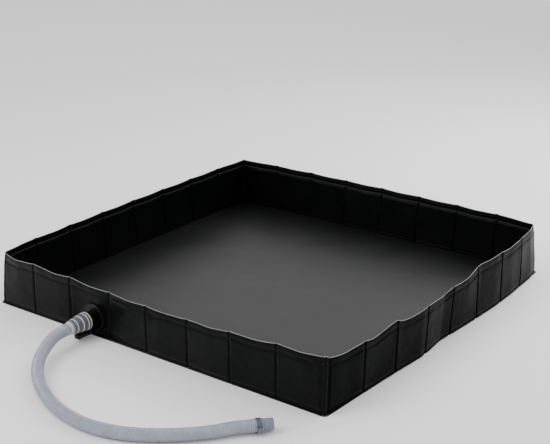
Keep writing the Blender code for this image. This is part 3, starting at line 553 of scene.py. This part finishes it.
@dataclass
class SoftWalls:
    """All four walls: a front and back stretch with the corners, and four links on each side."""

    shape: WallShape = field(default_factory=WallShape)
    wrap: float = 0.0057
    flat_share: float = 0.06

    def build(self) -> list[bpy.types.Object]:
        """Builds every stretch.

        Returns:
            The pieces.
        """
        full = 2 * self.shape.half
        pieces = [self.long_wall("front_wall_cloth", "tray", "front_wall", Side.FRONT),
                  self.long_wall("back_wall_cloth", "back_wall", "back_wall", Side.BACK)]
        link = (full - self.shape.thickness) / 4
        middle = self.shape.thickness / 2
        for side, label in ((Side.LEFT, "left"), (Side.RIGHT, "right")):
            for index in range(4):
                name = f"{label}_link_{index + 1}"
                start = self.wrap if index == 0 else middle + index * link
                end = full - self.wrap if index == 3 else middle + (index + 1) * link
                if side is Side.LEFT:
                    start, end = full - end, full - start
                skin = WallSkin(name + "_cloth", name, [(side, start, end)],
                                (name + "_sleeve", name + "_board_1", name + "_board_2"), self.shape,
                                SHADED_LINK_CLOTH)
                piece = skin.build()
                skin.flatten_when_folded(piece)
                pieces.append(piece)
        self.open_drain(pieces[0])
        return pieces

    def long_wall(self, name: str, body: str, node_prefix: str, side: Side) -> bpy.types.Object:
        """Builds the front or back wall with its two soft corners."""
        full = 2 * self.shape.half
        before, after = Side((side.value + 3) % 4), Side((side.value + 1) % 4)
        nodes = (node_prefix + "_sleeve", *(f"{node_prefix}_board_{index + 1}" for index in range(8)))
        stretch = [(before, full - self.wrap, full), (side, 0.0, full), (after, 0.0, self.wrap)]
        return WallSkin(name, body, stretch, nodes, self.shape).build()

    def open_drain(self, front: bpy.types.Object) -> None:
        """Cuts the hole for the drain's neck through the front wall."""
        hole = bmesh.new()
        across, level = self.shape.drain_at
        place = Matrix.Translation((across, -self.shape.half, level)) @ Matrix.Rotation(math.pi / 2, 4, "X")
        bmesh.ops.create_cone(hole, cap_ends=True, segments=40, radius1=0.0173, radius2=0.0173,
                              depth=0.05, matrix=place)
        mesh = bpy.data.meshes.new("drain_hole_tool")
        hole.to_mesh(mesh)
        tool = bpy.data.objects.new("drain_hole_tool", mesh)
        bpy.context.scene.collection.objects.link(tool)
        cut = front.modifiers.new("hole", "BOOLEAN")
        cut.object = tool
        cut.operation = "DIFFERENCE"
        cut.solver = "EXACT"
        with bpy.context.temp_override(object=front, active_object=front, selected_objects=[front]):
            bpy.ops.object.modifier_apply(modifier=cut.name)
        bpy.data.objects.remove(tool)


@dataclass
class FloorCloth:
    """The floor sheet, which follows the foot of the walls and closes up to them at its welded edge."""

    shape: WallShape = field(default_factory=WallShape)
    lip: float = 0.004
    thickness: float = 0.0012
    corner: float = 0.012
    cells: int = 110
    folded_share: float = 0.088
    weld_lift: float = 0.24      # millimetres that the welded edge stands up, close under the walls

    def build(self) -> bpy.types.Object:
        """Builds the sheet.

        Returns:
            The piece, dressed and riding on the tray.
        """
        reach = self.shape.half + self.lip
        steps = np.linspace(-reach, reach, self.cells + 1)
        top, bottom = [], []
        for across in steps:
            for deep in steps:
                spot = self.place(across, deep, reach)
                wave = self.wave(across, deep)
                top.append((*spot, self.thickness + wave))
                bottom.append((*spot, 0.0))
        width = self.cells + 1
        faces, count = [], len(top)
        for row in range(self.cells):
            for step in range(self.cells):
                first = row * width + step
                face = (first, first + 1, first + width + 1, first + width)
                faces.append(face[::-1])
                faces.append(tuple(index + count for index in face))
        edge = [step for step in range(width)] + [row * width + width - 1 for row in range(1, width)]
        edge += [(width - 1) * width + step for step in range(width - 2, -1, -1)]
        edge += [row * width for row in range(width - 2, 0, -1)]
        for here, there in zip(edge, edge[1:] + edge[:1]):
            faces.append((here, there, there + count, here + count))
        piece = mesh_object("floor_cloth", np.array(top + bottom), faces)
        FLOOR_CLOTH.dress(piece)
        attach(piece, "tray")
        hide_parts("floor_sheet")
        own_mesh(piece)
        return piece

    def place(self, across: float, deep: float, reach: float) -> tuple[float, float]:
        """Returns where a point of the flat sheet lies once its edges follow the walls."""
        inner = reach - self.corner
        over = np.array((max(0.0, abs(across) - inner), max(0.0, abs(deep) - inner)))
        far = float(np.linalg.norm(over))
        if far > self.corner:
            over *= self.corner / far
            across = math.copysign(inner + over[0], across)
            deep = math.copysign(inner + over[1], deep)
        half, foot = self.shape.half, self.shape.base
        x_share, y_share = (across / reach + 1) / 2, (deep / reach + 1) / 2
        x_run, y_run = (min(max(value + half, 0.0), 2 * half) for value in (across, deep))
        push_x = self.shape.lean(Side.RIGHT, y_run, foot) * x_share
        push_x -= self.shape.lean(Side.LEFT, 2 * half - y_run, foot) * (1 - x_share)
        push_y = self.shape.lean(Side.BACK, 2 * half - x_run, foot) * y_share
        push_y -= self.shape.lean(Side.FRONT, x_run, foot) * (1 - y_share)
        return across + push_x, deep + push_y

    def wave(self, across: float, deep: float) -> float:
        """Returns how far the sheet stands off the ground, by its soft waves."""
        calm = float(ease((self.shape.half - max(abs(across), abs(deep))) / 0.08))
        value = noise.noise(Vector((across * 5, deep * 7, 0.5))) * 0.10
        value += noise.noise(Vector((across * 13, deep * 22, 3.5))) * 0.03
        return ((value + 0.12) * calm + self.weld_lift * (1 - calm)) * MILLIMETRE


@dataclass
class DrainHose:
    """The clear drain hose, which lies in a wide turn from the valve to its far fitting."""

    radius: float = 0.0160
    drain: tuple[float, float, float] = (-0.19625, -0.5500, 0.0470)
    start: float = 0.0974
    straight: float = 0.012
    end: tuple[float, float, float] = (0.4815, -0.7020, 0.0180)
    end_run: tuple[float, float, float] = (0.664, 0.748, 0.0)
    end_straight: float = 0.030
    route: tuple[tuple[float, float, float], ...] = (
        (-0.19675, -0.677, 0.0455), (-0.1945, -0.703, 0.0405), (-0.1745, -0.752, 0.0325),
        (-0.1405, -0.803, 0.0250), (-0.0940, -0.847, 0.0195), (-0.0344, -0.885, 0.0170),
        (0.0353, -0.917, 0.0165), (0.1048, -0.934, 0.0165), (0.1745, -0.936, 0.0165),
        (0.2366, -0.922, 0.0165), (0.2871, -0.898, 0.0165), (0.3322, -0.867, 0.0165),
        (0.3731, -0.831, 0.0165), (0.4048, -0.797, 0.0170))
    rib_pitch: float = 0.0048
    rib_height: float = 0.0015
    rings_per_rib: int = 7
    around: int = 28

    def centreline(self) -> np.ndarray:
        """Returns the route's own points from the cuff to the far fitting."""
        origin = Vector(self.drain)
        out = Vector((0.0, -1.0, 0.0))
        finish, run = Vector(self.end), Vector(self.end_run).normalized()
        points = [origin + out * self.start, origin + out * (self.start + self.straight)]
        points += [Vector(point) for point in self.route]
        points += [finish - run * self.end_straight * share for share in (2, 1, 0)]
        return np.array(points)

    def smooth(self, points: np.ndarray, spacing: float) -> np.ndarray:
        """Reads evenly spaced points from a smooth curve through the route's points."""
        gaps = np.linalg.norm(np.diff(points, axis=0), axis=1)
        slopes = np.zeros_like(points)
        slopes[0] = (0.0, -1.0, 0.0)
        slopes[-1] = Vector(self.end_run).normalized()
        for index in range(1, len(points) - 1):
            slopes[index] = (points[index + 1] - points[index - 1]) / (gaps[index - 1] + gaps[index])
        dense = [points[0]]
        for index, gap in enumerate(gaps):
            steps = max(2, round(gap / 0.0015))
            for step in range(1, steps + 1):
                t = step / steps
                dense.append((2 * t ** 3 - 3 * t ** 2 + 1) * points[index]
                             + (t ** 3 - 2 * t ** 2 + t) * gap * slopes[index]
                             + (3 * t ** 2 - 2 * t ** 3) * points[index + 1]
                             + (t ** 3 - t ** 2) * gap * slopes[index + 1])
        dense = np.array(dense)
        travelled = np.concatenate(([0], np.cumsum(np.linalg.norm(np.diff(dense, axis=0), axis=1))))
        wanted = np.linspace(0, travelled[-1], round(travelled[-1] / spacing) + 1)
        return np.stack([np.interp(wanted, travelled, dense[:, axis]) for axis in range(3)], axis=1)

    def build(self) -> bpy.types.Object:
        """Builds the hose with its wound ribs.

        Returns:
            The piece, dressed and riding on the tray.
        """
        spacing = self.rib_pitch / self.rings_per_rib
        line = self.smooth(self.centreline(), spacing)
        runs = np.gradient(line, axis=0)
        runs /= np.linalg.norm(runs, axis=1)[:, None]
        rows = []
        for index, (at, run) in enumerate(zip(line, runs)):
            flat = np.cross(run, (0, 0, 1))
            flat /= np.linalg.norm(flat)
            up = np.cross(flat, run)
            angles = 2 * np.pi * np.arange(self.around) / self.around
            turn = index * spacing / self.rib_pitch * 2 * np.pi - angles
            reach = self.radius - self.rib_height * (0.5 - 0.5 * np.cos(turn)) ** 1.5
            rows.append(at + np.cos(angles)[:, None] * reach[:, None] * flat
                        + np.sin(angles)[:, None] * reach[:, None] * up)
        points, faces = ring_grid(np.array(rows))
        piece = mesh_object("drain_hose", points, faces)
        CLEAR_HOSE.dress(piece)
        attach(piece, "tray")
        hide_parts("hose_tube")
        return piece


@dataclass
class HoseCuff:
    """The hose's end, pushed over the valve's outlet: rings round it, painted pale as highlights, with fine
    ribs between.
    """

    drain: tuple[float, float, float] = (-0.19625, -0.5500, 0.0470)
    bore: float = 0.0137
    mouth_bore: float = 0.0211
    mouth_end: float = 0.0314
    mouth_radius: float = 0.0236
    radius: float = 0.0182
    bulge: float = 0.0013
    hose_radius: float = 0.0160
    start: float = 0.0292
    end: float = 0.0971
    crests: tuple[float, ...] = (0.0300, 0.0400, 0.0560, 0.0745, 0.0915)
    rib_pitch: float = 0.0042
    rib_height: float = 0.0008
    step: float = 0.0006
    around: int = 48

    def profile(self, out: float) -> tuple[float, float]:
        """Returns the cuff's radius and how pale it is painted, at a distance from the wall: painted
        highlights on the rings and ribs, and the hose's own paler tone towards the cuff's end.
        """
        crest = max(math.exp(-((out - place) / 0.0021) ** 2) for place in self.crests)
        # Painted highlight: a narrow pale glint on each ring's crest.
        glint = max(math.exp(-((out - place) / 0.0015) ** 2) for place in self.crests)
        rib = 0.5 + 0.5 * math.cos(2 * math.pi * (out - self.start) / self.rib_pitch)
        ease_out = float(ease((out - (self.end - 0.014)) / 0.012))
        spread = (self.mouth_radius - self.radius) * (1 - float(ease((out - self.mouth_end) / 0.060)))
        radius = self.radius + spread + self.bulge * crest + self.rib_height * rib * (1 - crest)
        radius += (self.hose_radius - radius) * ease_out
        # Paleness painted as highlights on the glints and rib crests, and as the hose's own paler tone
        # towards the cuff's end.
        pale = max(glint, 0.24 * rib ** 2, 0.50 * float(ease((out - (self.end - 0.016)) / 0.010)))
        return radius, pale

    def build(self) -> bpy.types.Object:
        """Builds the cuff as a closed sleeve.

        Returns:
            The piece, dressed and riding on the tray.
        """
        stations = np.arange(self.start, self.end + self.step / 2, self.step)
        outline = [(out, *self.profile(float(out))) for out in stations]
        outline += [(self.end, self.bore, 0.6), (self.mouth_end + self.step, self.bore, 0.2),
                    (self.mouth_end, self.mouth_bore, 0.2), (self.start, self.mouth_bore, 0.2)]
        points, faces, pale = [], [], []
        across, face, level = self.drain
        for out, radius, tone in outline:
            for step in range(self.around):
                angle = 2 * math.pi * step / self.around
                points.append((across + radius * math.cos(angle), face - out,
                               level + radius * math.sin(angle)))
                pale.append(tone)
        rings = len(outline)
        for ring in range(rings):
            for step in range(self.around):
                here, there = ring * self.around, (ring + 1) % rings * self.around
                turn = (step + 1) % self.around
                faces.append((here + step, here + turn, there + turn, there + step))
        piece = mesh_object("hose_cuff_stretched", np.array(points), faces)
        piece.data.attributes.new("painted_highlight_and_tone", "FLOAT", "POINT").data.foreach_set("value", pale)
        STRETCHED_HOSE.dress(piece)
        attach(piece, "tray")
        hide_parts("hose_cuff")
        return piece


@dataclass
class Studio:
    """The plain pale floor, the soft lights and the camera."""

    camera_at: tuple[float, float, float] = (1.97802, -2.66871, 1.39546)
    camera_run: tuple[float, float, float] = (-0.5613, 0.7550, -0.3391)
    lens_mm: float = 80.95
    ground_colour: str = "#fbfbfb"
    ground_reach: float = 12.0
    ground_level: float = -0.0006
    surround: float = 1.05

    def camera(self) -> None:
        """Makes the camera and sets it as the scene's own."""
        data = bpy.data.cameras.new("camera")
        data.lens = self.lens_mm
        data.sensor_width = 36.0
        made = bpy.data.objects.new("camera", data)
        made.location = self.camera_at
        made.rotation_euler = Vector(self.camera_run).to_track_quat("-Z", "Y").to_euler()
        bpy.context.scene.collection.objects.link(made)
        bpy.context.scene.camera = made

    def lamp(self, name: str, at: Sequence[float], aim: Sequence[float], size: float, power: float) -> None:
        """Hangs one square soft light.

        Args:
            name: The light's name.
            at: Where it hangs.
            aim: The point that it shines at.
            size: The length of its sides.
            power: Its power in watts.
        """
        data = bpy.data.lights.new(name, "AREA")
        data.size = size
        data.energy = power
        made = bpy.data.objects.new(name, data)
        made.location = at
        made.rotation_euler = (Vector(aim) - Vector(at)).to_track_quat("-Z", "Y").to_euler()
        bpy.context.scene.collection.objects.link(made)

    def build(self) -> None:
        """Makes the ground, the even surrounding light and the lamps."""
        mesh = bpy.data.meshes.new("ground")
        reach, level = self.ground_reach, self.ground_level
        mesh.from_pydata([(-reach, -reach, level), (reach, -reach, level), (reach, reach, level),
                          (-reach, reach, level)], [], [(0, 1, 2, 3)])
        ground = bpy.data.objects.new("ground", mesh)
        bpy.context.scene.collection.objects.link(ground)
        material = bpy.data.materials.new("painted_studio_ground")
        material.use_nodes = True
        shader = material.node_tree.nodes["Principled BSDF"]
        shader.inputs["Base Color"].default_value = linear(self.ground_colour)
        shader.inputs["Roughness"].default_value = 0.9
        mesh.materials.append(material)
        world = bpy.data.worlds.new("studio")
        world.use_nodes = True
        world.node_tree.nodes["Background"].inputs["Color"].default_value = linear("#ffffff")
        world.node_tree.nodes["Background"].inputs["Strength"].default_value = self.surround
        bpy.context.scene.world = world
        self.lamp("key_light", (0.6, 1.9, 1.7), (-0.05, 0.05, 0.0), 1.6, 42)
        self.lamp("side_light", (2.4, 1.6, 1.3), (0.5, 0.2, 0.05), 0.9, 9)
        self.lamp("front_light", (-1.2, -2.4, 2.2), (-0.1, -0.4, 0.0), 1.6, 45)


def dress_nodes() -> None:
    """Gives each shown part of the frame its own finish."""
    for finish, names in NODE_FINISHES.items():
        for name in names:
            finish.dress(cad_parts[name])


def main() -> None:
    """Builds the studio, the hose, the walls, the floor and the drain's finishes."""
    logging.basicConfig(level=logging.INFO, format="%(name)s: %(message)s")
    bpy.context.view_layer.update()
    studio = Studio()
    studio.camera()
    LOG.info("built %s", DrainHose().build().name)
    LOG.info("built %s", HoseCuff().build().name)
    studio.build()
    shape = WallShape()
    for piece in SoftWalls(shape).build():
        LOG.info("built %s", piece.name)
    LOG.info("built %s", FloorCloth(shape).build().name)
    dress_nodes()
    bpy.context.view_layer.update()


if __name__ == "__main__":
    main()
